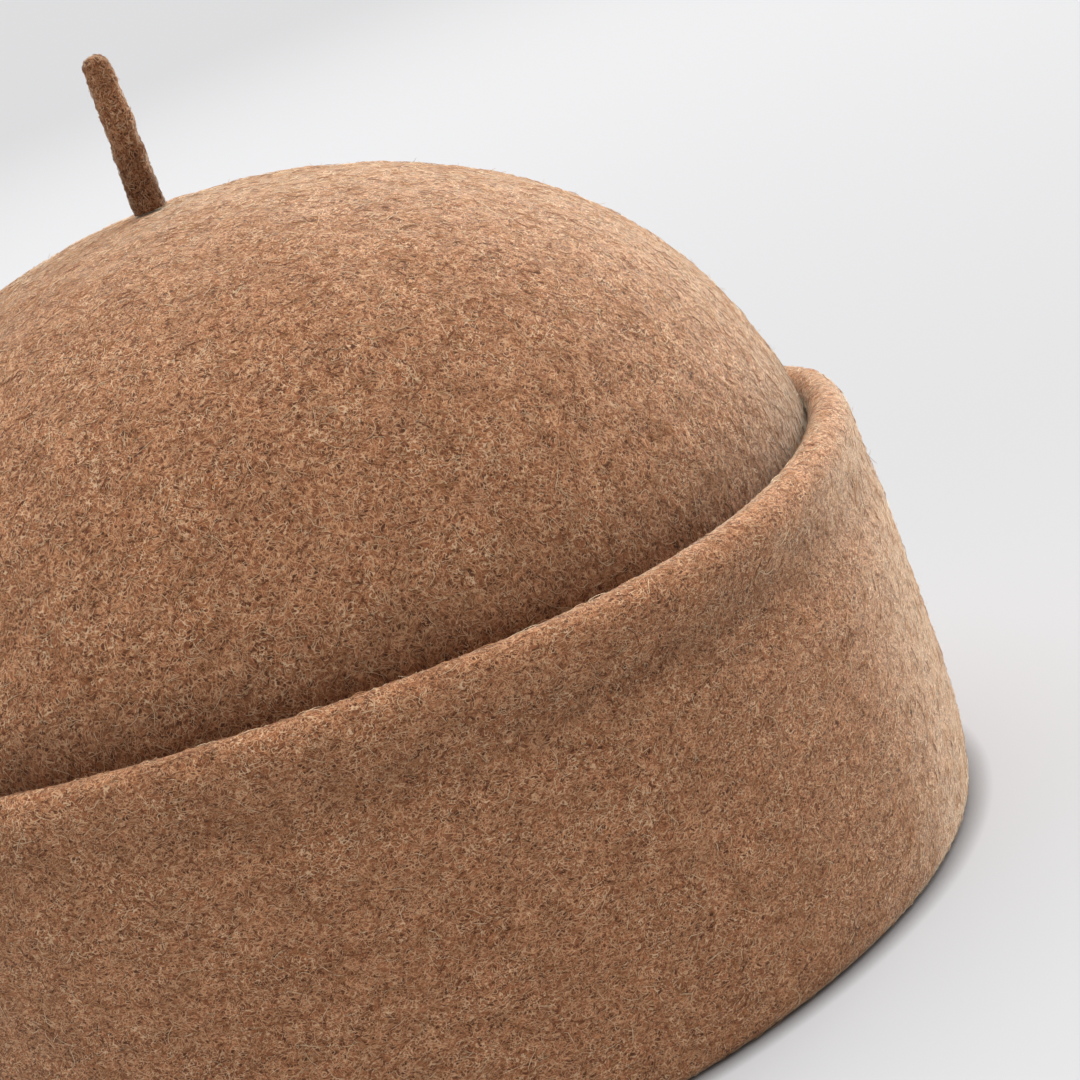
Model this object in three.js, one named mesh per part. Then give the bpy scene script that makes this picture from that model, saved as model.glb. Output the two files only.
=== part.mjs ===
// A wool felt hat: a round crown with a short stem on top, and a tall turned-up cuff.
// The crown is one shell of felt, open at the foot. The cuff is one folded sheet of the same felt:
// it starts under the crown's lower edge, turns outwards and up at the foot, runs up the outside,
// rolls over at the top, and its free edge ends hidden between the crown and its own outer layer.
//
// Units are millimetres and degrees. +Z is up, -Y is the front, and the origin is the middle of
// the foot, on the surface that the hat stands on.

import * as THREE from "three";
import { mergeVertices } from "three/addons/utils/BufferGeometryUtils.js";

// Driving dimensions
const FELT = 2.6; // thickness of one layer of felt
const GAP = 0.33; // clearance between pieces that touch
const SECTORS = 56; // straight sides that stand for a full turn
const OVAL = 0.028; // how much longer the hat is from front to back than it is wide

const CUFF_HEIGHT = 75.1; // mean height of the cuff's top edge
const CROWN_RISE = 69.9; // from there to the top of the crown
const CROWN_RADIUS = 93.3; // of the crown's arch, where it would meet the cuff's edge
const CROWN_SHAPE = { across: 2.04, up: 1.87 }; // exponents of the superellipse that the arch follows
const FLARE = { width: 1.1, above: 15 }; // how far the crown swells out towards the cuff's edge
const CROWN_FOOT = 9.3; // height of the crown's lower edge, inside the cuff

// The cuff's sheet is folded under at the foot, where it is pressed flat on what the hat stands on.
const FOOT_FOLD = { radius: 96.7, bend: 2.1, pressed: 0.3 };
// Its outer face from there upwards.
const CUFF_WALL = [
  { height: 10.5, radius: 101.6 },
  { height: 20.5, radius: 102.2 },
  { height: 33.5, radius: 102.4 },
  { height: 47.5, radius: 102.5 },
  { height: 57.5, radius: 102.6 },
  { height: 65.0, radius: 102.3 },
];
// The half ellipse of its middle line where it rolls over at the top.
const TOP_ROLL = { radius: 98.5, across: 2.25, up: 3.4 };
// Middle line of the hidden layer from the roll down.
const HIDDEN_LAYER = [
  { height: 66, radius: 96.4 },
  { height: 57, radius: 96.6 },
  { height: 46, radius: 96.85 },
];

// The cuff isn't turned up evenly: its edge rises and falls in these waves about its mean height.
const EDGE_WAVES = [
  { waves: 1, height: 5.45, phase: 134 },
  { waves: 2, height: 1.55, phase: -32 },
  { waves: 3, height: 0.83, phase: 57 },
  { waves: 4, height: 1.0, phase: -1 },
];
const SETTLE = 30; // height above the edge within which the crown is level again

// Soft hollows of the cuff's outer layer, and with a negative depth its swellings.
const CUFF_DENTS = [
  { turn: -35, height: 55, turnSpan: 30, heightSpan: 8, depth: 1.4 },
  { turn: -100, height: 61, turnSpan: 40, heightSpan: 6, depth: 0.6 },
  { turn: 40, height: 40, turnSpan: 26, heightSpan: 16, depth: -0.6 },
  { turn: 115, height: 50, turnSpan: 34, heightSpan: 12, depth: 0.7 },
  { turn: -150, height: 36, turnSpan: 30, heightSpan: 14, depth: -0.6 },
];
const CUFF_LAYERS = { hidden: 98.3, outer: 99.5 }; // radius up to and from which a point is in that layer

// The same for the crown above the cuff.
const CROWN_DENTS = [
  { turn: -70, height: 104, turnSpan: 30, heightSpan: 12, depth: 0.6 },
  { turn: -20, height: 122, turnSpan: 34, heightSpan: 12, depth: -0.7 },
  { turn: 60, height: 110, turnSpan: 36, heightSpan: 14, depth: 1.1 },
  { turn: 140, height: 118, turnSpan: 40, heightSpan: 12, depth: -0.7 },
  { turn: -155, height: 106, turnSpan: 32, heightSpan: 14, depth: 0.9 },
];

// Middle line of the stem, from its root on the crown to the start of its rounded tip.
const STEM_ROWS = [
  { height: 0, x: 1.3, y: 0, radius: 3.1 },
  { height: 6, x: 1.5, y: 0.1, radius: 2.95 },
  { height: 11.5, x: 1.8, y: 0.3, radius: 2.9 },
  { height: 17, x: 2.1, y: 0.6, radius: 2.85 },
  { height: 22.5, x: 2.2, y: 1.0, radius: 2.7 },
  { height: 26, x: 2.3, y: 1.3, radius: 2.5 },
];
const STEM_TIP = { length: 2, rings: 3 };
const STEM_SIDES = 12;

// Fineness of each profile
const CROWN_ARCH_POINTS = 13;
const FOLD_STEPS = 8;
const ROLL_STEPS = 6;
const EDGE_STEPS = 3;

const { degToRad, smoothstep } = THREE.MathUtils;

const FELT_COLOUR = new THREE.Color().setRGB(0.54, 0.38, 0.27, THREE.SRGBColorSpace);
const STEM_COLOUR = new THREE.Color().setRGB(0.42, 0.28, 0.19, THREE.SRGBColorSpace);

function felt(color) {
  return new THREE.MeshStandardMaterial({ color, roughness: 0.95, metalness: 0 });
}

// Rise of the cuff's edge above its mean height, at a turn about the hat's axis in radians.
function edgeRise(turn) {
  return EDGE_WAVES.reduce(
    (sum, { waves, height, phase }) => sum + height * Math.cos(waves * turn + degToRad(phase)),
    0,
  );
}

// Share of the edge's rise that a point takes: none at the foot, all of it at the edge, and less
// again above it.
function edgeShare(height) {
  if (height < CUFF_HEIGHT) return height / CUFF_HEIGHT;
  return 1 - smoothstep(height - CUFF_HEIGHT, 0, SETTLE);
}

// Depth of all the dents in a table at one place, each a smooth bell about its middle.
function dentDepth(dents, turn, height) {
  return dents.reduce((sum, dent) => {
    const away = THREE.MathUtils.euclideanModulo(turn - degToRad(dent.turn) + Math.PI, 2 * Math.PI);
    const across = (away - Math.PI) / degToRad(dent.turnSpan);
    const up = (height - dent.height) / dent.heightSpan;
    return sum + dent.depth * Math.exp(-across * across - up * up);
  }, 0);
}

// Turns a profile (x is the radius, y the height) about +Z, with its points on shared vertices.
function turned(profile, sides) {
  const lathe = new THREE.LatheGeometry(profile, sides);
  lathe.deleteAttribute("normal");
  lathe.deleteAttribute("uv");
  return mergeVertices(lathe.rotateX(Math.PI / 2), 1e-3);
}

// Moves each vertex of a geometry to the place that the function move gives for it.
function moved(geometry, move) {
  const position = geometry.getAttribute("position");
  for (let i = 0; i < position.count; i++) {
    position.setXYZ(i, ...move(position.getX(i), position.getY(i), position.getZ(i)));
  }
  geometry.computeVertexNormals();
  return geometry;
}

// Turns a closed profile into a shell with the hat's oval plan, the slope of the cuff's edge, and
// the dents that dentAt gives for a point's turn, radius and height.
function shell(profile, dentAt) {
  return moved(turned(profile, SECTORS), (x, y, height) => {
    const turn = Math.atan2(y, x);
    const radius = Math.hypot(x, y);
    const reach = radius - dentAt(turn, radius, height);
    return [
      reach * Math.cos(turn),
      reach * Math.sin(turn) * (1 + OVAL),
      height + edgeRise(turn) * edgeShare(height),
    ];
  });
}

// Moves a line of 2-D points sideways, to the left of its direction for a positive distance.
function offset(line, distance) {
  return line.map((point, i) => {
    const before = line[Math.max(i - 1, 0)];
    const after = line[Math.min(i + 1, line.length - 1)];
    const along = after.clone().sub(before).normalize();
    return new THREE.Vector2(point.x - distance * along.y, point.y + distance * along.x);
  });
}

// Points of a half ellipse about a middle, from its right to its left over the top, or from its
// left to its right under the middle.
function halfEllipse(middle, across, up, steps, { under = false } = {}) {
  return Array.from({ length: steps + 1 }, (_, i) => {
    const angle = Math.PI * (i / steps + (under ? 1 : 0));
    return new THREE.Vector2(middle.x + across * Math.cos(angle), middle.y + up * Math.sin(angle));
  });
}

// Rounds the free end of the sheet: a half circle between its two faces, beyond their last points.
function roundEnd(from, to) {
  const middle = from.clone().add(to).divideScalar(2);
  return Array.from({ length: EDGE_STEPS - 1 }, (_, i) =>
    from.clone().rotateAround(middle, (Math.PI * (i + 1)) / EDGE_STEPS),
  );
}

// Outer face of the crown from its foot, up inside the cuff, to the middle of its top.
function crownLine() {
  const edge = new THREE.Vector2(CROWN_RADIUS + FLARE.width, CUFF_HEIGHT);
  const foot = new THREE.Vector2(FOOT_FOLD.radius - FOOT_FOLD.bend + FELT / 2, CROWN_FOOT);
  const wall = [0, 0.35, 0.7, 0.92].map((part) => foot.clone().lerp(edge, part));
  const arch = Array.from({ length: CROWN_ARCH_POINTS }, (_, i) => {
    const angle = ((i / (CROWN_ARCH_POINTS - 1)) ** 1.15 * Math.PI) / 2;
    const up = CROWN_RISE * Math.sin(angle) ** (2 / CROWN_SHAPE.up);
    const across = CROWN_RADIUS * Math.max(Math.cos(angle), 0) ** (2 / CROWN_SHAPE.across);
    const flare = FLARE.width * (1 - smoothstep(up, 0, FLARE.above));
    return new THREE.Vector2(across + flare, CUFF_HEIGHT + up);
  });
  arch[arch.length - 1].x = 0;
  return [...wall, ...arch];
}

function crown() {
  const outside = crownLine();
  const inside = offset(outside, FELT);
  inside[0].y = CROWN_FOOT;
  inside[inside.length - 1].set(0, CUFF_HEIGHT + CROWN_RISE - FELT);
  const geometry = shell([...inside.reverse(), ...outside], (turn, radius, height) => {
    const clearOfCuff = smoothstep(height - CUFF_HEIGHT, 6, 18);
    return dentDepth(CROWN_DENTS, turn, height) * clearOfCuff * Math.min(radius / 20, 1);
  });
  return new THREE.Mesh(geometry, felt(FELT_COLOUR));
}

// Middle line of the cuff's sheet, from under the crown's edge, round the foot, up the outside and
// over the roll to its hidden end.
function cuffLine() {
  const { radius, bend, pressed } = FOOT_FOLD;
  const foot = new THREE.Vector2(radius, bend + FELT / 2 - pressed);
  const top = new THREE.Vector2(TOP_ROLL.radius, CUFF_HEIGHT - FELT / 2 - TOP_ROLL.up);
  return [
    new THREE.Vector2(radius - bend, CROWN_FOOT - GAP),
    ...halfEllipse(foot, bend, bend, FOLD_STEPS, { under: true }),
    ...CUFF_WALL.map((row) => new THREE.Vector2(row.radius - FELT / 2, row.height)),
    ...halfEllipse(top, TOP_ROLL.across, TOP_ROLL.up, ROLL_STEPS),
    ...HIDDEN_LAYER.map((row) => new THREE.Vector2(row.radius, row.height)),
  ];
}

function cuff() {
  const line = cuffLine();
  const inside = offset(line, FELT / 2);
  const outside = offset(line, -FELT / 2);
  const end = roundEnd(outside.at(-1), inside.at(-1));
  const profile = [...outside, ...end, ...inside.reverse()];
  profile.forEach((point) => point.setY(Math.max(point.y, 0)));
  const geometry = shell([...profile, profile[0].clone()], (turn, radius, height) => {
    const onOutside = smoothstep(radius, CUFF_LAYERS.hidden, CUFF_LAYERS.outer);
    return dentDepth(CUFF_DENTS, turn, height) * onOutside;
  });
  return new THREE.Mesh(geometry, felt(FELT_COLOUR));
}

// The stem: rings of one many-sided section along its middle line, closed by a flat root and a
// rounded tip.
function stem() {
  const last = STEM_ROWS.at(-1);
  const tip = Array.from({ length: STEM_TIP.rings }, (_, i) => {
    const angle = ((i + 1) / (STEM_TIP.rings + 1)) * (Math.PI / 2);
    return {
      ...last,
      height: last.height + STEM_TIP.length * Math.sin(angle),
      radius: last.radius * Math.cos(angle),
    };
  });
  const rows = [...STEM_ROWS, ...tip];
  const root = { ...STEM_ROWS[0], radius: 0 };
  const peak = { ...last, height: last.height + STEM_TIP.length, radius: 0 };
  const line = [root, ...rows, peak];
  const profile = line.map((row) => new THREE.Vector2(row.radius, row.height));
  const base = CUFF_HEIGHT + CROWN_RISE + GAP;
  const geometry = moved(turned(profile, STEM_SIDES), (x, y, height) => {
    const row = line.find((one) => Math.abs(one.height - height) < 1e-3);
    return [x + row.x, y + row.y, height + base];
  });
  return new THREE.Mesh(geometry, felt(STEM_COLOUR));
}

const hat = new THREE.Group();
for (const [name, make] of Object.entries({ crown, cuff, stem })) {
  const mesh = make();
  mesh.name = name;
  hat.add(mesh);
}

export default hat;
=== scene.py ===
"""The look of a brown wool felt hat: a round crown, a tall turned-up cuff and a short stem.

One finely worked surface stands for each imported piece, in the same place and of nearly the same
size, and matted fibres lie over it. Lengths in the classes are millimetres and angles are degrees; a mesh is
brought to metres when it is written. +Z is up, -Y is the front, and the hat stands on z = 0.
"""

import logging
import math
from dataclasses import dataclass, field, replace
from enum import Enum

import bpy
import numpy as np
from mathutils import Matrix, Vector


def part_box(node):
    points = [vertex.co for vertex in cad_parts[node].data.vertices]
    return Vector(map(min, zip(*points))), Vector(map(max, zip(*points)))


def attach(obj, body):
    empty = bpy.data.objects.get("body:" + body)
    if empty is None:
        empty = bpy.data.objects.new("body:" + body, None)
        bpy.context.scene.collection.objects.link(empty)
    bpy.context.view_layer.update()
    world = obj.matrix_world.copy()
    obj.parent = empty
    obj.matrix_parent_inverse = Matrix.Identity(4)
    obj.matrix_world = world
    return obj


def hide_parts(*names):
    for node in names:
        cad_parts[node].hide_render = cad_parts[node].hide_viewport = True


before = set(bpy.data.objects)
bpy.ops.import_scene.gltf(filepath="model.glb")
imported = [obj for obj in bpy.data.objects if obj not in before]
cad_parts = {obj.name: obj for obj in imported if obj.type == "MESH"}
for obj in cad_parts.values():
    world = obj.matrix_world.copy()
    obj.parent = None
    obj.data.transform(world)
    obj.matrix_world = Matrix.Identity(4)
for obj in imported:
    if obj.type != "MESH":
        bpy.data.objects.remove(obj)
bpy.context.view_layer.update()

LOG = logging.getLogger("hat")
Array = np.ndarray
Colour = tuple[float, float, float]

MM = 0.001  # metres in a millimetre
TAU = 2 * math.pi
ARC_POINTS = 33


# Plain helpers


def smoothstep(value: Array, low: float, high: float) -> Array:
    """A soft step from 0 at low to 1 at high: t * t * (3 - 2t), with t the share of the way.

    Args:
        value: Numbers to judge.
        low: Where the step starts.
        high: Where it ends.

    Returns:
        The step's height for each number.
    """
    t = np.clip((np.asarray(value, float) - low) / (high - low), 0, 1)
    return t * t * (3 - 2 * t)


def grown(start: float, share: Array) -> Array:
    """Numbers from start, where the share is 0, to 1, where the share is 1."""
    return start + (1 - start) * share


def turns(columns: int) -> Array:
    """Angles of evenly spaced columns round an upright axis, as one row."""
    return np.linspace(0, TAU, columns, endpoint=False)[None]


def unit(vectors: Array) -> Array:
    """Each vector divided by its own length."""
    return vectors / np.maximum(np.linalg.norm(vectors, axis=-1, keepdims=True), 1e-12)


def spread(line: Array, steps: int) -> Array:
    """Points at even distances along a line.

    Args:
        line: Points of the line, one a row.
        steps: How many equal stretches it is cut into.

    Returns:
        The steps + 1 points between them, ends included.
    """
    along = np.r_[0, np.cumsum(np.linalg.norm(np.diff(line, axis=0), axis=1))]
    wanted = np.linspace(0, along[-1], steps + 1)
    return np.stack([np.interp(wanted, along, line[:, i]) for i in range(line.shape[1])], axis=1)


def rounded(line: Array, rounds: int = 3) -> Array:
    """A line with its corners cut off again and again, a quarter and three quarters along each edge.

    Args:
        line: Points of the line, one a row.
        rounds: How often the corners are cut.

    Returns:
        The smoother line, with the same two ends.
    """
    for _ in range(rounds):
        near = 0.75 * line[:-1] + 0.25 * line[1:]
        far = 0.25 * line[:-1] + 0.75 * line[1:]
        inner = np.stack([near, far], axis=1).reshape(-1, line.shape[1])
        line = np.vstack([line[:1], inner, line[-1:]])
    return line


def beside(line: Array, distance: float) -> Array:
    """A flat line moved sideways, to the left of its direction for a positive distance.

    Args:
        line: Points (radius, height) of the line.
        distance: How far it moves.

    Returns:
        The moved points.
    """
    along = unit(np.gradient(line, axis=0))
    return line + distance * np.stack([-along[:, 1], along[:, 0]], axis=1)


def arc(middle: tuple[float, float], across: float, up: float, start: float, end: float) -> Array:
    """Points of an elliptical arc: middle + (across * cos, up * sin) of an angle.

    Args:
        middle: Its centre, as radius and height.
        across: Half width.
        up: Half height.
        start: First angle.
        end: Last angle.

    Returns:
        The points (radius, height), one a row.
    """
    angle = np.radians(np.linspace(start, end, ARC_POINTS))
    return np.stack([middle[0] + across * np.cos(angle), middle[1] + up * np.sin(angle)], axis=1)


# The hat's shape


@dataclass(frozen=True)
class Wave:
    """One wave of the cuff's edge round the hat."""

    waves: int
    height: float
    phase: float


@dataclass(frozen=True)
class Dent:
    """A soft hollow, or with a negative depth a swelling."""

    turn: float
    height: float
    turn_span: float
    height_span: float
    depth: float


@dataclass(frozen=True)
class HatShape:
    """Sizes that the pieces share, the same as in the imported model."""

    felt: float = 2.6
    gap: float = 0.33
    oval: float = 0.028
    cuff_height: float = 75.1
    crown_rise: float = 69.9
    settle: float = 30.0
    edge_waves: tuple[Wave, ...] = (
        Wave(1, 5.45, 134),
        Wave(2, 1.55, -32),
        Wave(3, 0.83, 57),
        Wave(4, 1.0, -1),
    )

    def edge_rise(self, turn: Array) -> Array:
        """Rise of the cuff's edge above its mean height: the sum of its waves at each turn."""
        return sum(w.height * np.cos(w.waves * turn + math.radians(w.phase)) for w in self.edge_waves)

    def edge_share(self, height: Array) -> Array:
        """Share of the edge's rise that a height takes: growing to the edge, then fading above it."""
        above = 1 - smoothstep(height - self.cuff_height, 0, self.settle)
        return np.where(height < self.cuff_height, height / self.cuff_height, above)

    def place(self, radius: Array, height: Array, turn: Array, depth: Array) -> Array:
        """Points of the hat: a turned profile, pressed in, made oval, and raised with the edge.

        x = (radius - depth) * cos(turn), y = (radius - depth) * sin(turn) * (1 + oval), and
        z = height + rise * share.

        Args:
            radius: Radius of each profile point.
            height: Height of each profile point.
            turn: Angle about the axis, in radians.
            depth: How far each point is pressed in.

        Returns:
            The points, with a last axis of x, y and z.
        """
        reach = radius - depth
        x = reach * np.cos(turn)
        y = reach * np.sin(turn) * (1 + self.oval)
        z = height + self.edge_rise(turn) * self.edge_share(height)
        return np.stack(np.broadcast_arrays(x, y, z), axis=-1)


def dent_depth(dents: tuple[Dent, ...], turn: Array, height: Array) -> Array:
    """Depth of all dents: each a bell, depth * exp(-(turn away / span)^2 - (height away / span)^2).

    Args:
        dents: The dents.
        turn: Angle about the axis of each point, in radians.
        height: Height of each point.

    Returns:
        Their depth at each point.
    """
    total = np.zeros(np.broadcast(turn, height).shape)
    for dent in dents:
        away = np.mod(turn - math.radians(dent.turn) + math.pi, TAU) - math.pi
        across = away / math.radians(dent.turn_span)
        up = (height - dent.height) / dent.height_span
        total = total + dent.depth * np.exp(-across * across - up * up)
    return total


@dataclass(frozen=True)
class Lumps:
    """Unevenness of matted wool: many slight waves in random directions, added up."""

    height: float
    shortest: float
    longest: float
    seed: int
    count: int = 60

    def at(self, points: Array) -> Array:
        """Height of the lumps at points of space: the sum of cos(2 pi * k . p + phase).

        Args:
            points: Places, with a last axis of x, y and z.

        Returns:
            The height at each, of about this size on either side of 0.
        """
        random = np.random.default_rng(self.seed)
        lengths = np.exp(random.uniform(math.log(self.shortest), math.log(self.longest), self.count))
        pulls = unit(random.normal(size=(self.count, 3))) * (TAU / lengths)[:, None]
        phases = random.uniform(0, TAU, self.count)
        total = np.zeros(points.shape[:-1])
        for pull, phase in zip(pulls, phases):
            total += np.cos(points @ pull + phase)
        return total * self.height * math.sqrt(2 / self.count)


# Meshes


class Ends(Enum):
    """How the rows of a surface end."""

    LOOP = "the last row joins the first"
    POLES = "a point closes the first row, and another the last"


@dataclass
class Surface:
    """A closed skin on a grid: rows along a profile, outer side downwards, and columns round it."""

    points: Array
    ends: Ends
    # painted light: for each point, a factor of painted shade where it is below 1 and of painted highlight
    # where it is above 1
    open: Array
    poles: Array | None = None
    normals: Array = field(init=False)

    def __post_init__(self) -> None:
        """Works out the normals."""
        self.normals = self._normals()

    def _normals(self) -> Array:
        """Outward normals: the change along a row's step crossed with that along a column's."""
        round_it = np.roll(self.points, -1, axis=1) - np.roll(self.points, 1, axis=1)
        if self.ends is Ends.LOOP:
            along = np.roll(self.points, -1, axis=0) - np.roll(self.points, 1, axis=0)
        else:
            along = np.gradient(self.points, axis=0)
        return unit(np.cross(along, round_it))

    def swollen(self, lumps: Lumps, share: Array | float = 1.0) -> "Surface":
        """The surface with lumps, each point moved along its normal.

        Args:
            lumps: The lumps.
            share: How much of their height each point takes.

        Returns:
            The uneven surface.
        """
        height = lumps.at(self.points) * share
        return replace(self, points=self.points + self.normals * height[..., None])

    @property
    def row_steps(self) -> Array:
        """Mean distance between each row and the next."""
        return np.linalg.norm(np.gradient(self.points, axis=0), axis=2).mean(axis=1)

    @property
    def column_steps(self) -> Array:
        """Mean distance between neighbouring columns in each row."""
        return np.linalg.norm(np.roll(self.points, -1, axis=1) - self.points, axis=2).mean(axis=1)

    def at(self, rows: Array, columns: Array) -> tuple[Array, Array]:
        """Places and normals between the grid's points, each blended from the four round it.

        Args:
            rows: Row of each place, with fractions.
            columns: Column of each place, with fractions and of any number of turns.

        Returns:
            The places and their normals.
        """
        low = np.clip(np.floor(rows).astype(int), 0, len(self.points) - 2)
        down = np.clip(rows - low, 0, 1)[..., None]
        left = np.floor(columns).astype(int)
        along = (columns - left)[..., None]
        left, right = left % self.points.shape[1], (left + 1) % self.points.shape[1]

        def blend(grid: Array) -> Array:
            """The grid's value at each place."""
            upper = grid[low, left] * (1 - along) + grid[low, right] * along
            lower = grid[low + 1, left] * (1 - along) + grid[low + 1, right] * along
            return upper * (1 - down) + lower * down

        return blend(self.points), unit(blend(self.normals))

    def open_at(self, rows: Array, columns: Array) -> Array:
        """How much painted shade or painted highlight lies at places between its points: the value of the
        point before.
        """
        return self.open[rows.astype(int), columns.astype(int) % self.points.shape[1]]

    def object(self, name: str, material: bpy.types.Material) -> bpy.types.Object:
        """The surface as a Blender object, with the quads of its grid and fans at its poles.

        Args:
            name: The piece's name.
            material: Its finish.

        Returns:
            The object.
        """
        rows, columns = self.points.shape[:2]
        index = np.arange(rows * columns).reshape(rows, columns)
        beyond = np.roll(index, -1, axis=1)
        top, under = (index, np.roll(index, -1, axis=0)), (beyond, np.roll(beyond, -1, axis=0))
        quads = np.stack([top[0], top[1], under[1], under[0]], axis=-1)
        places = self.points.reshape(-1, 3)
        faces = [quads.reshape(-1, 4)]
        if self.ends is Ends.POLES:
            first = np.full(columns, rows * columns)
            fans = [
                np.stack([first, index[0], beyond[0]], axis=1),
                np.stack([first + 1, beyond[-1], index[-1]], axis=1),
            ]
            faces = [quads[:-1].reshape(-1, 4), *fans]
            places = np.vstack([places, self.poles])
        # each point's painted shade or highlight factor goes into the mesh as an attribute, 1 at the poles
        marks = {"open": np.r_[self.open.ravel(), np.ones(len(places) - self.open.size)]}
        return mesh_object(name, places, faces, material, marks)


def mesh_object(
    name: str,
    places: Array,
    faces: list[Array],
    material: bpy.types.Material,
    marks: dict[str, Array] | None = None,
    normals: Array | None = None,
) -> bpy.types.Object:
    """A smooth-shaded mesh object in the scene.

    Args:
        name: The piece's name.
        places: Its points in millimetres.
        faces: Tables of point numbers, each table of faces with one number of corners.
        material: Its finish.
        marks: A number for each point, kept as an attribute of that name.
        normals: The direction that each point is shaded by, or None for the mesh's own.

    Returns:
        The object.
    """
    corners = np.concatenate([table.ravel() for table in faces]).astype(np.int32)
    sizes = np.concatenate([np.full(len(table), table.shape[1]) for table in faces])
    mesh = bpy.data.meshes.new(name)
    mesh.vertices.add(len(places))
    mesh.vertices.foreach_set("co", (places * MM).astype(np.float32).ravel())
    mesh.loops.add(len(corners))
    mesh.loops.foreach_set("vertex_index", corners)
    mesh.polygons.add(len(sizes))
    mesh.polygons.foreach_set("loop_start", (np.cumsum(sizes) - sizes).astype(np.int32))
    mesh.polygons.foreach_set("use_smooth", np.ones(len(sizes), bool))
    for mark, values in (marks or {}).items():
        mesh.attributes.new(mark, "FLOAT", "POINT").data.foreach_set("value", values.astype(np.float32))
    mesh.update(calc_edges=True)
    if normals is not None:
        mesh.normals_split_custom_set_from_vertices(normals.astype(np.float32))
    mesh.materials.append(material)
    made = bpy.data.objects.new(name, mesh)
    bpy.context.scene.collection.objects.link(made)
    return made


# Fibres


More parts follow.
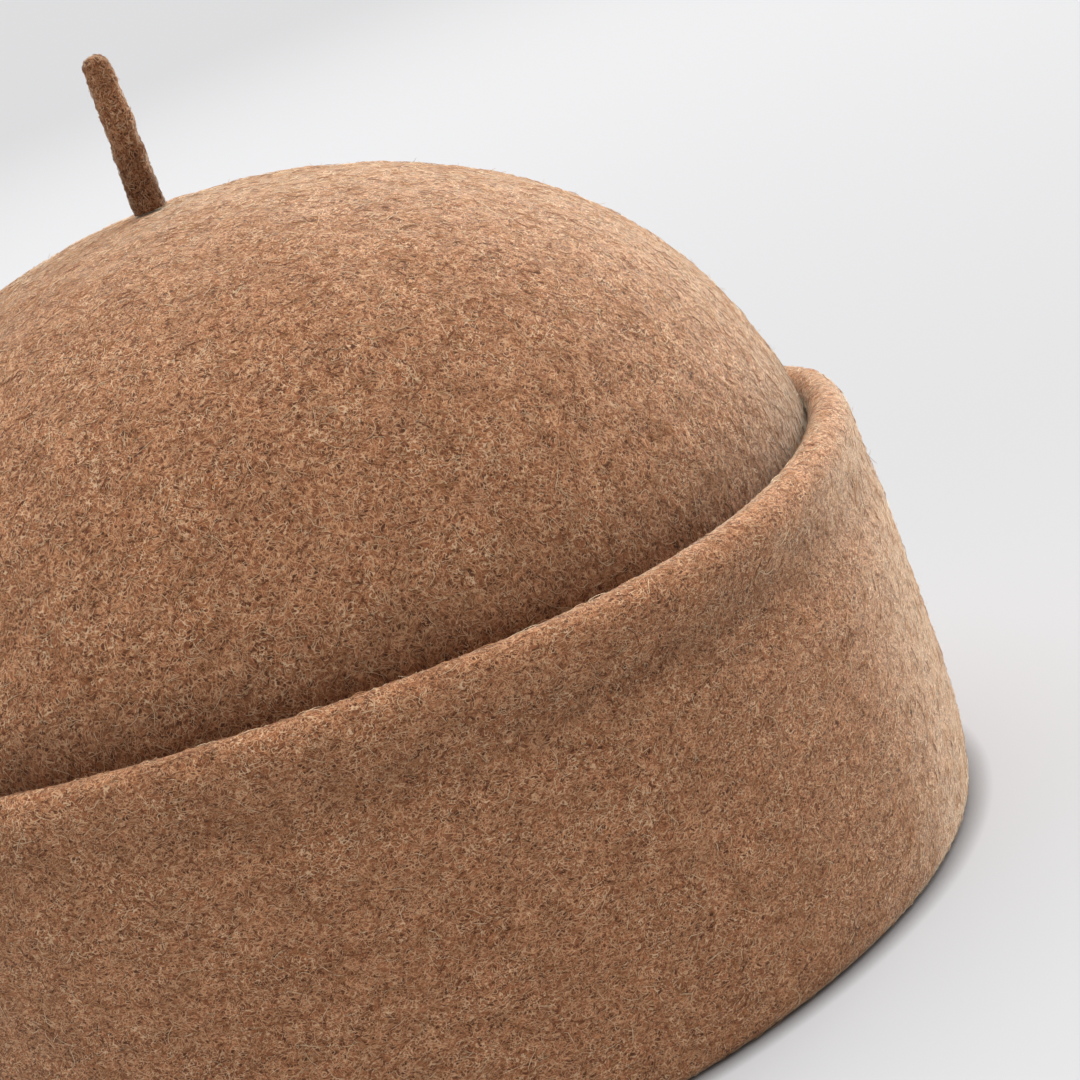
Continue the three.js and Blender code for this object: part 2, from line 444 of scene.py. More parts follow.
@dataclass(frozen=True)
class Fibres:
    """One kind of wool fibre: closed three-sided strands, pointed at both ends, that lie in curls."""

    count: int
    length: tuple[float, float]
    width: tuple[float, float]
    rings: int
    curl: float
    lift: tuple[float, float]
    seed: int
    along: float = 0.0
    swing: float = 30.0
    free: bool = False
    round_look: float = 0.45  # how far the shading of a fibre's sides turns away from the felt's
    wobble: float = 0.6  # share of the curl that changes along a fibre
    sharpest: float = 0.9  # radians that a path turns at most in a step
    sink: float = 0.35  # share of its width that a fibre's end lies below the felt
    free_rise: float = 1.3  # power that a free fibre's height grows with
    taper: float = 0.4  # power that a fibre's width fades with towards its ends

    def strands(
        self, surface: Surface, rows: tuple[int, int]
    ) -> tuple[Array, list[Array], dict[str, Array], Array]:
        """The fibres, scattered evenly over some rows of a surface.

        Each path starts at a random place and heading, and takes equal steps over the surface while
        its heading turns with the curl. Its height over the surface rises from its sunken root and
        falls again, or keeps rising if the fibre's tip is free. Round each inner point of the path
        stands a ring of three corners.

        Args:
            surface: What they lie on.
            rows: First and last row that they may start on.

        Returns:
            The points, the tables of faces, each point's tone and the painted shade or highlight that it
            takes from the felt at its root, and its shading normal.
        """
        random = np.random.default_rng(self.seed)
        row_steps, column_steps = surface.row_steps, surface.column_steps
        columns, knots = surface.points.shape[1], self.rings + 2
        radii = column_steps * columns / TAU
        narrowing = np.gradient(radii) / row_steps
        span = np.arange(rows[0], rows[1])
        weight = (row_steps * column_steps)[span]
        row = random.choice(span, self.count, p=weight / weight.sum()) + random.random(self.count)
        column = random.random(self.count) * columns
        # each fibre takes the painted shade or highlight of the felt where it starts
        opens = surface.open_at(row, column)
        heading = random.uniform(0, TAU, self.count)
        lined = random.random(self.count) < self.along
        tilt = np.radians(random.normal(0, self.swing, self.count))
        heading = np.where(lined, tilt + math.pi * (random.random(self.count) < 0.5), heading)
        length = random.uniform(*self.length, self.count)
        curl = np.radians(random.normal(0, self.curl, self.count))
        bend = np.radians(random.normal(0, self.curl, (self.count, knots))) * self.wobble
        step = length / (knots - 1)
        last = len(surface.points) - 1.001  # just short of the last row
        path_rows, path_columns = [], []
        for knot in range(knots):
            path_rows.append(row)
            path_columns.append(column)
            near = np.clip(row.astype(int), 0, len(radii) - 1)
            turned = step * np.cos(heading) / radii[near]
            row = np.clip(row + step * np.sin(heading) / row_steps[near], 0, last)
            column = column + turned / TAU * columns
            bent = np.clip((curl + bend[:, knot]) * step, -self.sharpest, self.sharpest)
            heading = heading + bent - turned * narrowing[near]
        places, normals = surface.at(np.stack(path_rows, axis=1), np.stack(path_columns, axis=1))
        width = random.uniform(*self.width, self.count)
        share = np.linspace(0, 1, knots)
        rise = share**self.free_rise if self.free else np.sin(math.pi * share)
        lift = random.uniform(*self.lift, self.count)
        height = rise * lift[:, None] - self.sink * width[:, None] * (1 - rise)
        middles = places + normals * height[..., None]
        middles[..., 2] = np.maximum(middles[..., 2], width[:, None])  # none goes through the floor
        places, faces, shading = self._skins(middles, normals, width)
        each = len(places) // self.count
        marks = {"tone": np.repeat(random.random(self.count), each), "open": np.repeat(opens, each)}
        return places, faces, marks, shading

    def _skins(self, middles: Array, normals: Array, width: Array) -> tuple[Array, list[Array], Array]:
        """Closed skins round paths: at each inner point, corners a third of a turn apart.

        Args:
            middles: Points of each path.
            normals: The surface's normal at each.
            width: Greatest width of each fibre.

        Returns:
            The points, the tables of faces, and shading normals that lean to the felt's own, because
            fibres lie too thick for the light to come between them.
        """
        along = unit(np.gradient(middles, axis=1))
        side = unit(np.cross(along, normals))
        up = np.cross(side, along)
        angle = np.radians([90, 210, 330])
        taper = np.sin(math.pi * np.linspace(0, 1, self.rings + 2)[1:-1]) ** self.taper
        reach = (width[:, None] * taper / 2)[..., None, None]
        ring = np.cos(angle)[:, None] * side[:, 1:-1, None] + np.sin(angle)[:, None] * up[:, 1:-1, None]
        rings = middles[:, 1:-1, None] + reach * ring
        each = 3 * self.rings + 2
        places = np.concatenate(
            [middles[:, :1], rings.reshape(len(middles), -1, 3), middles[:, -1:]], axis=1
        )
        around, onward = np.arange(3), np.array([1, 2, 0])
        first = np.stack([np.zeros(3, int), 1 + around, 1 + onward], axis=1)
        tip = each - 4
        end = np.stack([np.full(3, each - 1), tip + onward, tip + around], axis=1)
        between = [
            np.stack([low + around, low + 3 + around, low + 3 + onward, low + onward], axis=1)
            for low in range(1, 3 * self.rings - 3, 3)
        ]
        leaning = unit(normals[:, 1:-1, None] + self.round_look * ring).reshape(len(middles), -1, 3)
        shading = np.concatenate([normals[:, :1], leaning, normals[:, -1:]], axis=1)
        starts = (np.arange(len(middles)) * each)[:, None, None]
        triangles = (np.vstack([first, end])[None] + starts).reshape(-1, 3)
        faces = [triangles]
        if between:
            faces.append((np.vstack(between)[None] + starts).reshape(-1, 4))
        return places.reshape(-1, 3), faces, shading.reshape(-1, 3)


# Shader nodes


class Wire:
    """A socket in a shader whose arithmetic adds Math nodes."""

    def __init__(self, bench: "Bench", socket: bpy.types.NodeSocket) -> None:
        """Keeps the bench that the socket's node stands on, and the socket."""
        self.bench = bench
        self.socket = socket

    def __add__(self, other: "Wire | float") -> "Wire":
        """This plus the other."""
        return self.bench.math("ADD", self, other)

    __radd__ = __add__

    def __sub__(self, other: "Wire | float") -> "Wire":
        """This less the other."""
        return self.bench.math("SUBTRACT", self, other)

    def __rsub__(self, other: "Wire | float") -> "Wire":
        """The other less this."""
        return self.bench.math("SUBTRACT", other, self)

    def __mul__(self, other: "Wire | float") -> "Wire":
        """This times the other."""
        return self.bench.math("MULTIPLY", self, other)

    __rmul__ = __mul__

    def __abs__(self) -> "Wire":
        """This without its sign."""
        return self.bench.math("ABSOLUTE", self)

    def step(self, low: float, high: float, low_to: float = 0.0, high_to: float = 1.0) -> "Wire":
        """A soft step of this, from low_to at low to high_to at high."""
        settings = {"interpolation_type": "SMOOTHSTEP"}
        values = {"Value": self, "From Min": low, "From Max": high, "To Min": low_to, "To Max": high_to}
        return self.bench.add("MapRange", settings, values)["Result"]


class Made:
    """A node on the bench, whose outputs are read by name."""

    def __init__(self, bench: "Bench", node: bpy.types.Node) -> None:
        """Keeps the bench and the node."""
        self.bench = bench
        self.node = node

    def __getitem__(self, name: str) -> Wire:
        """The output of that name or identifier."""
        return Wire(self.bench, Bench.find(self.node.outputs, name))


class Bench:
    """Where a shader's nodes are put together."""

    def __init__(self, tree: bpy.types.NodeTree) -> None:
        """Starts with an empty tree."""
        tree.nodes.clear()
        self.tree = tree

    @staticmethod
    def find(sockets: bpy.types.bpy_prop_collection, name: str) -> bpy.types.NodeSocket:
        """The socket with that identifier, or else with that name."""
        exact = [socket for socket in sockets if socket.identifier == name]
        return exact[0] if exact else sockets[name]

    def add(
        self, kind: str, settings: dict[str, object] | None = None, values: dict[str, object] | None = None
    ) -> Made:
        """A new node.

        Args:
            kind: Its type, without the word ShaderNode in front.
            settings: Properties that are set first; stops is a ramp's list of place and colour.
            values: A value or a wire for each input, by name or identifier.

        Returns:
            The node.
        """
        node = self.tree.nodes.new(f"ShaderNode{kind}")
        for key, value in (settings or {}).items():
            if key == "stops":
                self._fill(node.color_ramp, value)
            else:
                setattr(node, key, value)
        for key, value in (values or {}).items():
            socket = self.find(node.inputs, key)
            if isinstance(value, Wire):
                self.tree.links.new(value.socket, socket)
            else:
                socket.default_value = value
        return Made(self, node)

    @staticmethod
    def _fill(ramp: bpy.types.ColorRamp, stops: list[tuple[float, Colour]]) -> None:
        """Gives a ramp its stops."""
        while len(ramp.elements) > 1:
            ramp.elements.remove(ramp.elements[-1])
        for number, (place, colour) in enumerate(stops):
            element = ramp.elements[0] if number == 0 else ramp.elements.new(place)
            element.position = place
            element.color = (*colour, 1.0)

    def math(self, operation: str, *values: Wire | float) -> Wire:
        """A Math node of one or two values."""
        names = ("Value", "Value_001")
        return self.add("Math", {"operation": operation}, dict(zip(names, values)))["Value"]

    def mix(self, share: Wire | float, low: Wire | Colour, high: Wire | Colour) -> Wire:
        """A colour between two: low where the share is 0, high where it is 1."""
        ends = {"A_Color": low, "B_Color": high}
        values = {k: v if isinstance(v, Wire) else (*v, 1.0) for k, v in ends.items()}
        settings = {"data_type": "RGBA"}
        return self.add("Mix", settings, {"Factor_Float": share, **values})["Result_Color"]

    def scaled(self, colour: Wire, amount: Wire) -> Wire:
        """A colour made lighter or darker by a number."""
        values = {"Vector": colour, "Scale": amount}
        return self.add("VectorMath", {"operation": "SCALE"}, values)["Vector"]

    def noise(self, place: Wire, scale: float) -> Made:
        """Smooth noise in space, with its scale in cells a millimetre."""
        values = {"Vector": place, "Scale": scale, "Detail": 0.0}
        return self.add("TexNoise", {"noise_dimensions": "3D"}, values)

    def mark(self, name: str) -> Wire:
        """The number that each point of the mesh keeps under that name."""
        return self.add("Attribute", {"attribute_name": name})["Fac"]


def new_material(name: str) -> tuple[bpy.types.Material, Bench]:
    """A new material, and the empty bench of its shader."""
    made = bpy.data.materials.new(name)
    made.use_nodes = True
    return made, Bench(made.node_tree)


def linear(red: int, green: int, blue: int) -> Colour:
    """A screen colour, from 0 to 255 each, as linear light."""
    parts = [value / 255 for value in (red, green, blue)]
    return tuple(p / 12.92 if p <= 0.04045 else ((p + 0.055) / 1.055) ** 2.4 for p in parts)


# Finishes


@dataclass(frozen=True)
class Wool:
    """Dyed wool of mixed shades: the ground between the fibres, and the fibres' shades."""

    ground: Colour
    shade: Colour
    shades: tuple[tuple[float, Colour], ...]
    gloss: float = 0.25
    sheen: float = 0.66
    sheen_rough: float = 0.4
    sheen_tint: Colour = linear(234, 230, 206)

    def principled(self, bench: Bench, colour: Wire, rough: float, normal: Wire | None) -> None:
        """Ends the shader in a dull surface with a soft nap.

        Args:
            bench: The shader's bench.
            colour: Base colour.
            rough: Roughness.
            normal: Its normal, or None for the mesh's own.
        """
        values = {
            "Base Color": colour,
            "Roughness": rough,
            "Specular IOR Level": self.gloss,
            "Sheen Weight": self.sheen,
            "Sheen Roughness": self.sheen_rough,
            "Sheen Tint": (*self.sheen_tint, 1.0),
        }
        if normal is not None:
            values["Normal"] = normal
        shader = bench.add("BsdfPrincipled", {}, values)["BSDF"]
        bench.add("OutputMaterial", {}, {"Surface": shader})


@dataclass(frozen=True)
class Felt:
    """Matted wool as a finish of a surface: layers of thin curling lines over a darker ground.

    Each line is where a smooth noise passes its middle value, so it winds and closes on itself, and
    a second noise breaks it into fibres.
    """

    name: str
    wool: Wool
    stretch: tuple[float, float, float] = (1.0, 1.0, 1.0)
    scales: tuple[float, ...] = (0.8, 1.1, 1.5)  # cells a millimetre of each three lines' noise
    order: tuple[int, ...] = (1, 4, 2, 0, 3, 1, 5, 2, 6)  # shade of each line
    line: float = 0.039  # half width of a line, as noise at one cell a millimetre
    core: float = 0.25  # share of it in which the line is at its fullest
    breaks: tuple[float, float] = (0.38, 0.48)  # noise below which a line breaks off
    cover: float = 0.92  # how much of the ground a line hides
    curl: float = 1.2
    curl_scale: float = 0.45
    patch_scale: float = 0.14
    patch: tuple[float, float] = (0.2, 0.7)  # share of a line's second shade
    patch_shift: int = 3  # how far on in the shades the second one is
    cloud_scale: float = 0.22
    cloud: tuple[float, float] = (0.93, 1.07)
    mottle_scale: float = 1.1
    relief: float = 0.04
    rough: float = 0.9

    def material(self) -> bpy.types.Material:
        """The finish as a material."""
        made, bench = new_material(self.name)
        place = bench.add("TexCoord")["Object"]
        size = tuple(s / MM for s in self.stretch)
        place = bench.add("Mapping", {}, {"Vector": place, "Scale": size})["Vector"]
        patches = bench.noise(place, self.patch_scale)["Fac"].step(0.3, 0.7, *self.patch)
        cloud = bench.noise(place, self.cloud_scale)["Fac"].step(0.3, 0.7, *self.cloud)
        mottle = bench.noise(place, self.mottle_scale)["Fac"].step(0.3, 0.65)
        colour = bench.mix(mottle, self.wool.ground, self.wool.shade)
        warp = bench.noise(place, self.curl_scale)["Color"]
        values = {"Vector": warp, "Vector_001": (self.curl,) * 3, "Vector_002": place}
        place = bench.add("VectorMath", {"operation": "MULTIPLY_ADD"}, values)["Vector"]
        layers = []
        for scale in self.scales:
            noise = bench.noise(place, scale)["Color"]
            parts = bench.add("SeparateXYZ", {}, {"Vector": noise})
            layers.append([parts[axis] for axis in "XYZ"])
        shades = [shade for _, shade in self.wool.shades]
        for number, kind in enumerate(self.order):
            layer, axis = divmod(number, 3)
            width = self.line * self.scales[layer]
            line = abs(layers[layer][axis] - 0.5).step(self.core * width, width, 1.0, 0.0)
            line = line * layers[layer - 1][axis - 1].step(*self.breaks)
            second = shades[(kind + self.patch_shift) % len(shades)]
            tint = bench.mix(patches, shades[kind], second)
            colour = bench.mix(line * self.cover, colour, tint)
        # painted shade in the crease, the hollows and at the stem's root, and painted highlight along the
        # cuff's roll, times the random cloud tone
        colour = bench.scaled(colour, cloud * bench.mark("open"))
        values = {"Height": mottle, "Distance": self.relief * MM, "Strength": 1.0}
        bump = bench.add("Bump", {}, values)["Normal"]
        self.wool.principled(bench, colour, self.rough, bump)
        return made


@dataclass(frozen=True)
class Strand:
    """The same wool as a finish of single fibres, each of one shade."""

    name: str
    wool: Wool
    rough: float = 0.8

    def material(self) -> bpy.types.Material:
        """The finish as a material."""
        made, bench = new_material(self.name)
        stops = list(self.wool.shades)
        colour = bench.add("ValToRGB", {"stops": stops}, {"Fac": bench.mark("tone")})["Color"]
        # the same painted shade and painted highlight as the felt under each fibre
        self.wool.principled(bench, bench.scaled(colour, bench.mark("open")), self.rough, None)
        return made


BROWN_WOOL = Wool(
    ground=linear(98, 58, 38),
    shade=linear(156, 99, 66),
    shades=(
        (0.00, linear(112, 64, 42)),
        (0.14, linear(164, 97, 65)),
        (0.32, linear(189, 125, 80)),
        (0.50, linear(203, 144, 97)),
        (0.66, linear(184, 130, 88)),
        (0.80, linear(229, 174, 131)),
        (0.93, linear(246, 212, 173)),
    ),
)
STEM_DARKER = 0.86  # the light of the stem's fibres as a share of the crown's
STEM_WOOL = replace(
    BROWN_WOOL,
    ground=linear(84, 50, 33),
    shade=linear(124, 78, 50),
    shades=tuple(
        (place, tuple(STEM_DARKER * part for part in shade)) for place, shade in BROWN_WOOL.shades
    ),
)


# The pieces


class Piece:
    """What the crown, the cuff and the stem have in common: a felt skin with fibres over it."""

    name: str
    wool: Wool
    stretch: tuple[float, float, float]
    fibres: dict[str, Fibres]
    fibre_rows: tuple[int, int]

    def surface(self) -> Surface:
        """The piece's skin."""
        raise NotImplementedError

    def put(self, made: bpy.types.Object, node: str | None = None) -> None:
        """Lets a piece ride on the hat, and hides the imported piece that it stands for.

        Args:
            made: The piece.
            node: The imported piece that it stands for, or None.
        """
        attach(made, "root")
        if node:
            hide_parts(node)
            low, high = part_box(node)
            places = np.empty(len(made.data.vertices) * 3, np.float32)
            made.data.vertices.foreach_get("co", places)
            places = places.reshape(-1, 3)
            off = [(places.min(0) - np.array(low)) / MM, (places.max(0) - np.array(high)) / MM]
            LOG.info("%s against its packed box, mm: %s", made.name, np.round(off, 2).tolist())
        made.data.calc_loop_triangles()
        LOG.info("%s: %d triangles", made.name, len(made.data.loop_triangles))

    def build(self) -> None:
        """Makes the piece in felt, and each kind of its fibres as a piece of its own."""
        surface = self.surface()
        felt = Felt(f"{self.name}_felt", self.wool, self.stretch)
        self.put(surface.object(felt.name, felt.material()), self.name)
        material = Strand(f"{self.name}_fibre", self.wool).material()
        for kind, fibres in self.fibres.items():
            places, faces, marks, normals = fibres.strands(surface, self.fibre_rows)
            made = mesh_object(f"{self.name}_{kind}", places, faces, material, marks, normals)
            self.put(made)


@dataclass(frozen=True)
class Crown(Piece):
    """The round crown: one shell of felt, unclosed at its foot."""

    name: str = "crown"
    wool: Wool = BROWN_WOOL
    stretch: tuple[float, float, float] = (1.0, 1.0, 1.0)
    shape: HatShape = HatShape()
    radius: float = 93.3
    across: float = 2.04
    up: float = 1.87
    flare: float = 1.1
    flare_above: float = 15.0
    foot_radius: float = 95.9
    foot: float = 9.3
    columns: int = 304
    arch_points: int = 400
    arch_crowding: float = 1.3
    arch_rows: int = 78
    wall_rows: int = 9
    foot_rows: int = 6
    inner_rows: int = 24
    fibre_rows: tuple[int, int] = (2, 80)
    # painted shade in the crease above the cuff: the light kept at the crease, and the heights over which it
    # fades
    painted_crease_light: float = 0.6
    painted_crease_fade: tuple[float, float] = (-2.0, 17.0)  # heights over the cuff's mean edge
    dents_fade: tuple[float, float] = (6.0, 18.0)  # heights over the cuff's mean edge
    dents_reach: float = 20.0  # radius from which the dents have their full depth
    lumps_reach: float = 12.0  # radius from which the lumps have their full height
    lumps_fade: tuple[float, float] = (60.0, 80.0)
    lumps_below: float = 0.4  # share of their height that they keep inside the cuff
    # turn, height, turn span, height span, depth
    dents: tuple[Dent, ...] = (
        Dent(-70, 104, 30, 12, 0.6),
        Dent(-20, 122, 34, 12, -0.7),
        Dent(60, 110, 36, 14, 1.1),
        Dent(140, 118, 40, 12, -0.7),
        Dent(-155, 106, 32, 14, 0.9),
    )
    lumps: Lumps = Lumps(0.06, 6.0, 18.0, 11)
    fibres: dict[str, Fibres] = field(
        default_factory=lambda: {
            # count, length, width, rings, curl, lift, seed, share along the edge
            "short_a": Fibres(12000, (1.1, 2.5), (0.09, 0.15), 1, 36, (0.02, 0.14), 21),
            "short_b": Fibres(12000, (1.1, 2.5), (0.09, 0.15), 1, 36, (0.04, 0.22), 22),
            "curls": Fibres(11000, (2.0, 3.8), (0.09, 0.15), 2, 30, (0.04, 0.26), 23),
            "long": Fibres(7000, (3.0, 5.5), (0.08, 0.14), 3, 24, (0.06, 0.32), 24),
            "strays": Fibres(900, (1.0, 3.0), (0.05, 0.09), 3, 36, (0.3, 1.2), 25, free=True),
        }
    )

    def arch(self) -> Array:
        """Outer line from the crown's top down to the cuff's edge.

        A superellipse: up = rise * sin^(2/up), across = radius * cos^(2/across) of an angle, and a
        flare that fades upwards.

        Returns:
            Points (radius, height).
        """
        angle = (np.linspace(1, 0, self.arch_points) ** self.arch_crowding) * math.pi / 2
        rise = self.shape.crown_rise * np.sin(angle) ** (2 / self.up)
        out = self.radius * np.maximum(np.cos(angle), 0) ** (2 / self.across)
        out = out + self.flare * (1 - smoothstep(rise, 0, self.flare_above))
        out[0] = 0
        return np.stack([out, self.shape.cuff_height + rise], axis=1)

    def surface(self) -> Surface:
        """The shell's skin, from the top down outside, round its foot, and up inside.

        Returns:
            The surface, with its lumps.
        """
        arch = self.arch()
        foot = np.array([self.foot_radius, self.foot + self.shape.felt / 2])
        wall = spread(np.stack([arch[-1], foot]), self.wall_rows)
        outer = np.vstack([arch, wall[1:]])
        inner = beside(outer, -self.shape.felt)
        inner[0] = (0, arch[0, 1] - self.shape.felt)
        middle = (foot[0] - self.shape.felt / 2, foot[1])
        foot_turn = arc(middle, self.shape.felt / 2, self.shape.felt / 2, 0, -180)
        rows = np.vstack(
            [
                spread(arch, self.arch_rows)[1:],
                wall[1:],
                spread(foot_turn, self.foot_rows)[1:-1],
                spread(inner[::-1], self.inner_rows)[:-1],
            ]
        )
        turn = turns(self.columns)
        radius, height = rows[:, :1], rows[:, 1:]
        over = height - self.shape.cuff_height
        clear = smoothstep(over, *self.dents_fade) * np.minimum(radius / self.dents_reach, 1)
        depth = dent_depth(self.dents, turn, height) * clear
        points = self.shape.place(radius, height, turn, depth)
        poles = np.array([[0, 0, arch[0, 1]], [0, 0, inner[0, 1]]])
        share = grown(self.lumps_below, smoothstep(height, *self.lumps_fade))
        share = share * np.minimum(radius / self.lumps_reach, 1)
        # painted shade, darker down towards the crease above the cuff
        open_to_light = grown(self.painted_crease_light, smoothstep(over, *self.painted_crease_fade)) + 0 * turn
        return Surface(points, Ends.POLES, open_to_light, poles).swollen(self.lumps, share)


@dataclass(frozen=True)
class Cuff(Piece):
    """The cuff: one folded sheet of felt, turned up outside the crown and rolled over at its top."""

    name: str = "cuff"
    wool: Wool = BROWN_WOOL
    stretch: tuple[float, float, float] = (1.0, 1.0, 1.35)
    shape: HatShape = HatShape()
    foot_radius: float = 96.7
    foot_bend: float = 2.1
    pressed: float = 0.3
    start: float = 8.97
    wall: tuple[tuple[float, float], ...] = (
        (101.6, 10.5),
        (102.2, 20.5),
        (102.4, 33.5),
        (102.5, 47.5),
        (102.6, 57.5),
        (102.3, 65.0),
    )
    roll_radius: float = 98.5
    roll_across: float = 2.25
    roll_up: float = 3.4
    hidden: tuple[tuple[float, float], ...] = ((96.4, 66), (96.6, 57), (96.85, 46))
    dents_fade: tuple[float, float] = (98.3, 99.5)  # radii between the hidden and the outer layer
    lumps_foot: tuple[float, float] = (0.5, 6.0)  # heights in which they begin
    lumps_fade: tuple[float, float] = (98.5, 101.0)
    lumps_inside: float = 0.35  # share of their height that they keep on the hidden layer
    columns: int = 344
    line_points: int = 600
    outer_rows: int = 90
    brink_rows: int = 2
    inner_rows: int = 24
    end_rows: int = 6
    fibre_rows: tuple[int, int] = (14, 86)
    # turn, height, turn span, height span, depth
    dents: tuple[Dent, ...] = (
        Dent(-48, 61, 26, 6.5, 1.6),
        Dent(-95, 63, 40, 5, 0.8),
        Dent(-38, 36, 9, 30, -0.8),
        Dent(-52, 71, 30, 4, -0.5),
        Dent(40, 40, 26, 16, -0.6),
        Dent(115, 50, 34, 12, 0.7),
        Dent(-150, 36, 30, 14, -0.6),
    )
    # the same for painted shade in the hollow under the roll, and for a painted highlight along the roll
    # where it is negative
    shades: tuple[Dent, ...] = (
        Dent(-60, 62.5, 34, 5.5, 0.2),
        Dent(-100, 64, 60, 4.5, 0.08),
        Dent(-60, 73, 90, 3.5, -0.08),
    )
    lumps: Lumps = Lumps(0.07, 6.0, 18.0, 12)
    fibres: dict[str, Fibres] = field(
        default_factory=lambda: {
            # count, length, width, rings, curl, lift, seed, share along the edge
            "short_a": Fibres(10000, (1.1, 2.5), (0.09, 0.15), 1, 36, (0.02, 0.14), 31, 0.6),
            "short_b": Fibres(10000, (1.1, 2.5), (0.09, 0.15), 1, 36, (0.04, 0.22), 32, 0.6),
            "curls": Fibres(9000, (2.0, 3.8), (0.09, 0.15), 2, 30, (0.04, 0.26), 33, 0.6),
            "long": Fibres(6200, (3.0, 5.5), (0.08, 0.14), 3, 24, (0.06, 0.32), 34, 0.6),
            "strays": Fibres(800, (1.0, 3.0), (0.05, 0.09), 3, 36, (0.3, 1.2), 35, free=True),
        }
    )

    def middle_line(self) -> Array:
        """Middle of the sheet, from under the crown's foot, up the outside, to its hidden end.

        Returns:
            Points (radius, height).
        """
        half = self.shape.felt / 2
        foot = (self.foot_radius, self.foot_bend + half - self.pressed)
        under = arc(foot, self.foot_bend, self.foot_bend, 180, 360)
        top = (self.roll_radius, self.shape.cuff_height - half - self.roll_up)
        over = arc(top, self.roll_across, self.roll_up, 0, 180)
        outside = rounded(np.array([under[-1], *[(r - half, h) for r, h in self.wall], over[0]]))
        inside = rounded(np.array([over[-1], *self.hidden]))
        start = np.array([[self.foot_radius - self.foot_bend, self.start]])
        return np.vstack([start, under, outside[1:-1], over, inside[1:]])

    def surface(self) -> Surface:
        """The folded sheet's skin: down its outer face, and back up its inner one.

        Returns:
            The surface, with its lumps.
        """
        line = spread(self.middle_line(), self.line_points)
        half = self.shape.felt / 2
        outer = beside(line, -half)[::-1]
        inner = beside(line, half)
        end = arc((line[-1, 0], line[-1, 1]), half, half, 0, -180)
        brink = np.array([[line[0, 0] - half, line[0, 1]], [line[0, 0] + half, line[0, 1]]])
        rows = np.vstack(
            [
                spread(outer, self.outer_rows),
                spread(brink, self.brink_rows)[1:-1],
                spread(inner, self.inner_rows),
                spread(end, self.end_rows)[1:-1],
            ]
        )
        rows[:, 1] = np.maximum(rows[:, 1], 0)
        turn = turns(self.columns)
        radius, height = rows[:, :1], rows[:, 1:]
        depth = dent_depth(self.dents, turn, height) * smoothstep(radius, *self.dents_fade)
        points = self.shape.place(radius, height, turn, depth)
        share = grown(self.lumps_inside, smoothstep(radius, *self.lumps_fade))
        share = share * smoothstep(height, *self.lumps_foot)
        # painted shade in the hollow under the roll and a painted highlight along the roll, from the shades
        # above
        open_to_light = 1 - dent_depth(self.shades, turn, height)
        return Surface(points, Ends.LOOP, open_to_light).swollen(self.lumps, share)


@dataclass(frozen=True)
class Stem(Piece):
    """The short stem on the crown's top, rolled from the same felt."""

    name: str = "stem"
    wool: Wool = STEM_WOOL
    stretch: tuple[float, float, float] = (1.0, 1.0, 1.0)
    fibre_rows: tuple[int, int] = (2, 61)
    shape: HatShape = HatShape()
    # height, x, y, radius
    rows: tuple[tuple[float, float, float, float], ...] = (
        (0, 1.3, 0, 2.95),
        (6, 1.5, 0.1, 2.8),
        (11.5, 1.8, 0.3, 2.7),
        (17, 2.1, 0.6, 2.65),
        (22.5, 2.2, 1.0, 2.5),
        (26, 2.3, 1.3, 2.25),
    )
    tip: float = 2.0
    tip_turn: float = 80.0
    tip_rows: int = 8
    side_rows: int = 54
    columns: int = 48
    # painted shade at the stem's root: the light kept there, and the height over which it fades
    painted_root_light: float = 0.58
    painted_root_fade: float = 20.0
    lumps_root: tuple[float, float] = (0.2, 2.5)  # heights in which they begin
    lumps_fade: tuple[float, float] = (0.4, 2.0)  # radii in which they fade to the tip
    lumps: Lumps = Lumps(0.09, 2.2, 7.0, 13)
    fibres: dict[str, Fibres] = field(
        default_factory=lambda: {
            # count, length, width, rings, curl, lift, seed, share along the edge
            "curls": Fibres(1200, (0.8, 2.2), (0.10, 0.17), 2, 40, (0.02, 0.2), 41),
            "strays": Fibres(60, (0.8, 2.0), (0.05, 0.09), 3, 30, (0.2, 0.6), 42, free=True),
        }
    )

    def surface(self) -> Surface:
        """The stem's skin from its rounded tip down to its root.

        Each row is a circle of the row's radius about its place on the middle line.

        Returns:
            The surface, with its lumps.
        """
        line = np.array(self.rows, float)
        angle = np.radians(np.linspace(0, self.tip_turn, self.tip_rows + 1))[1:]
        last = line[-1]
        tip = np.stack(
            [
                last[0] + self.tip * np.sin(angle),
                np.full(self.tip_rows, last[1]),
                np.full(self.tip_rows, last[2]),
                last[3] * np.cos(angle),
            ],
            axis=1,
        )
        sides = np.vstack([spread(line, self.side_rows), tip])[::-1]
        base = self.shape.cuff_height + self.shape.crown_rise + self.shape.gap
        turn = turns(self.columns)
        height, x, y, radius = (sides[:, i : i + 1] for i in range(4))
        places = (x + radius * np.cos(turn), y + radius * np.sin(turn), base + height)
        points = np.stack(np.broadcast_arrays(*places), axis=-1)
        poles = np.array([[*last[1:3], base + last[0] + self.tip], [*line[0, 1:3], base]])
        share = smoothstep(height, *self.lumps_root) * smoothstep(radius, *self.lumps_fade)
        # painted shade, darker down towards the stem's root
        open_to_light = grown(self.painted_root_light, smoothstep(height, 0, self.painted_root_fade)) + 0 * turn
        return Surface(points, Ends.POLES, open_to_light, poles).swollen(self.lumps, share)


# The studio


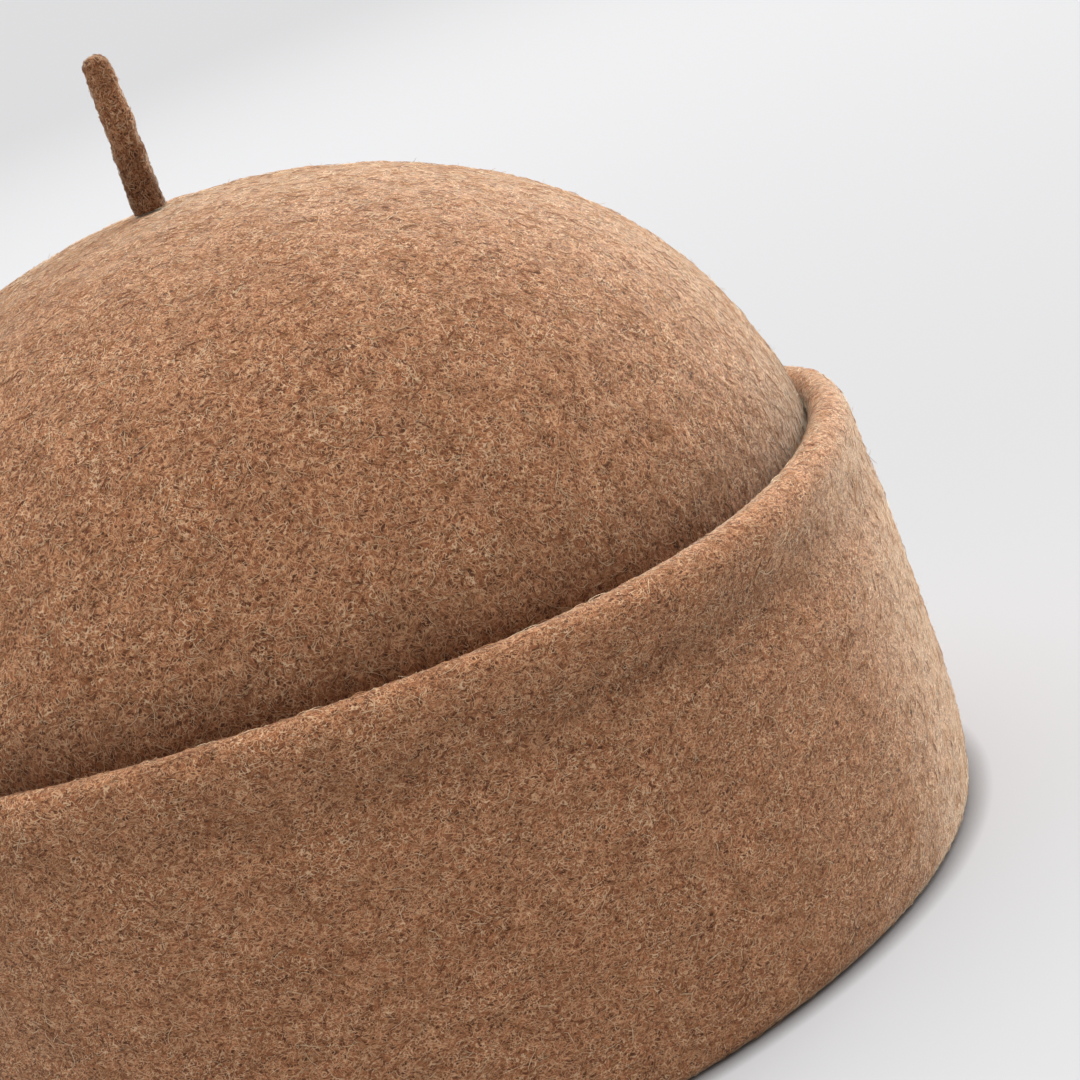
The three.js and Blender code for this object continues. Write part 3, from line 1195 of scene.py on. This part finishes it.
@dataclass(frozen=True)
class Camera:
    """A long lens above the floor, a little turned about its own axis as the photograph's was."""

    place: tuple[float, float, float] = (0.0, -524.9, 191.1)
    right: tuple[float, float, float] = (0.91806, -0.16228, -0.36170)
    up: tuple[float, float, float] = (0.38849, 0.18657, 0.90237)
    lens: float = 100.0
    sensor: float = 36.0

    def build(self) -> None:
        """Makes the camera and looks through it."""
        data = bpy.data.cameras.new("camera")
        data.lens, data.sensor_width = self.lens, self.sensor
        made = bpy.data.objects.new("camera", data)
        right, up = Vector(self.right).normalized(), Vector(self.up).normalized()
        back = right.cross(up).normalized()
        up = back.cross(right)
        turn = Matrix((right, up, back)).transposed().to_4x4()
        made.matrix_world = Matrix.Translation(Vector(self.place) * MM) @ turn
        bpy.context.scene.collection.objects.link(made)
        bpy.context.scene.camera = made


@dataclass(frozen=True)
class Lobe:
    """A soft patch of light far away: where it is, how far it reaches, and its strength."""

    way: tuple[float, float, float]
    start: float
    strength: float


@dataclass(frozen=True)
class PaintedPool:
    """A painted pool of light on the floor, a round brighter place: its middle and reach in metres, and its
    strength.
    """

    place: tuple[float, float, float]
    reach: float
    strength: float


@dataclass(frozen=True)
class Studio:
    """A pale floor under a wide soft light that comes from above, behind and the right."""

    floor_size: float = 60.0
    floor: Colour = (0.29, 0.29, 0.295)
    floor_glow: float = 0.31
    painted_pools: tuple[PaintedPool, ...] = (
        PaintedPool((0.1, 1.4, 0.0), 2.2, 0.15),
        PaintedPool((0.1, -0.25, 0.0), 0.5, 0.10),
    )
    glow_yellow: float = 0.99  # red and green of the glow as a share of its blue
    painted_contact_reach: float = 4.5  # millimetres from the hat in which a painted contact shadow dims the floor's glow
    contact_samples: int = 4
    floor_rough: float = 0.9
    floor_gloss: float = 0.1
    low: float = 0.193
    lobes: tuple[Lobe, ...] = (
        Lobe(way=(0.0, 0.2, 0.98), start=0.5, strength=2.3),
        Lobe(way=(0.78, 0.6, 0.2), start=0.91, strength=12.5),
    )

    def build(self) -> None:
        """Makes the floor and the light, and has colours shown as they are."""
        self._floor()
        self._light()
        bpy.context.scene.view_settings.view_transform = "Standard"

    def _floor(self) -> None:
        """Makes the pale glowing floor, with painted pools of light and a painted contact shadow that dims
        its glow where the hat stands over it.
        """
        half = self.floor_size / 2 / MM
        places = np.array([[-half, -half, 0], [half, -half, 0], [half, half, 0], [-half, half, 0]])
        material, bench = new_material("floor")
        place = bench.add("TexCoord")["Object"]
        glow: Wire | float = self.floor_glow
        # painted pools of light, added to the floor's glow
        for painted_pool in self.painted_pools:
            values = {"Vector": place, "Vector_001": painted_pool.place}
            away = bench.add("VectorMath", {"operation": "DISTANCE"}, values)["Value"]
            glow = away.step(0.0, painted_pool.reach, painted_pool.strength, 0.0) + glow
        # painted contact shadow: the glow dims where the hat stands close over the floor
        settings = {"samples": self.contact_samples}
        clear = bench.add("AmbientOcclusion", settings, {"Distance": self.painted_contact_reach * MM})["AO"]
        glow = glow * clear * clear
        yellow = glow * self.glow_yellow
        shade = bench.add("CombineXYZ", {}, {"X": yellow, "Y": yellow, "Z": glow})["Vector"]
        values = {
            "Base Color": (*self.floor, 1.0),
            "Roughness": self.floor_rough,
            "Specular IOR Level": self.floor_gloss,
            "Emission Color": shade,
            "Emission Strength": 1.0,
        }
        shader = bench.add("BsdfPrincipled", {}, values)["BSDF"]
        bench.add("OutputMaterial", {}, {"Surface": shader})
        mesh_object("floor", places, [np.array([[0, 1, 2, 3]])], material)

    def _light(self) -> None:
        """Makes the soft light: a low one from everywhere, and a lobe for each bright place."""
        scene = bpy.context.scene
        scene.world = bpy.data.worlds.new("soft_light")
        scene.world.use_nodes = True
        bench = Bench(scene.world.node_tree)
        way = bench.add("TexCoord")["Generated"]
        strength: Wire | float = self.low
        for lobe in self.lobes:
            aim = tuple(Vector(lobe.way).normalized())
            values = {"Vector": way, "Vector_001": aim}
            facing = bench.add("VectorMath", {"operation": "DOT_PRODUCT"}, values)["Value"]
            strength = facing.step(lobe.start, 1.0, 0.0, lobe.strength) + strength
        values = {"Color": (1.0, 1.0, 1.0, 1.0), "Strength": strength}
        shade = bench.add("Background", {}, values)["Background"]
        bench.add("OutputWorld", {}, {"Surface": shade})


def main() -> None:
    """Builds the hat and its studio."""
    logging.basicConfig(level=logging.INFO, format="%(name)s: %(message)s")
    Camera().build()
    Studio().build()
    for piece in (Crown(), Cuff(), Stem()):
        piece.build()


if __name__ == "__main__":
    main()
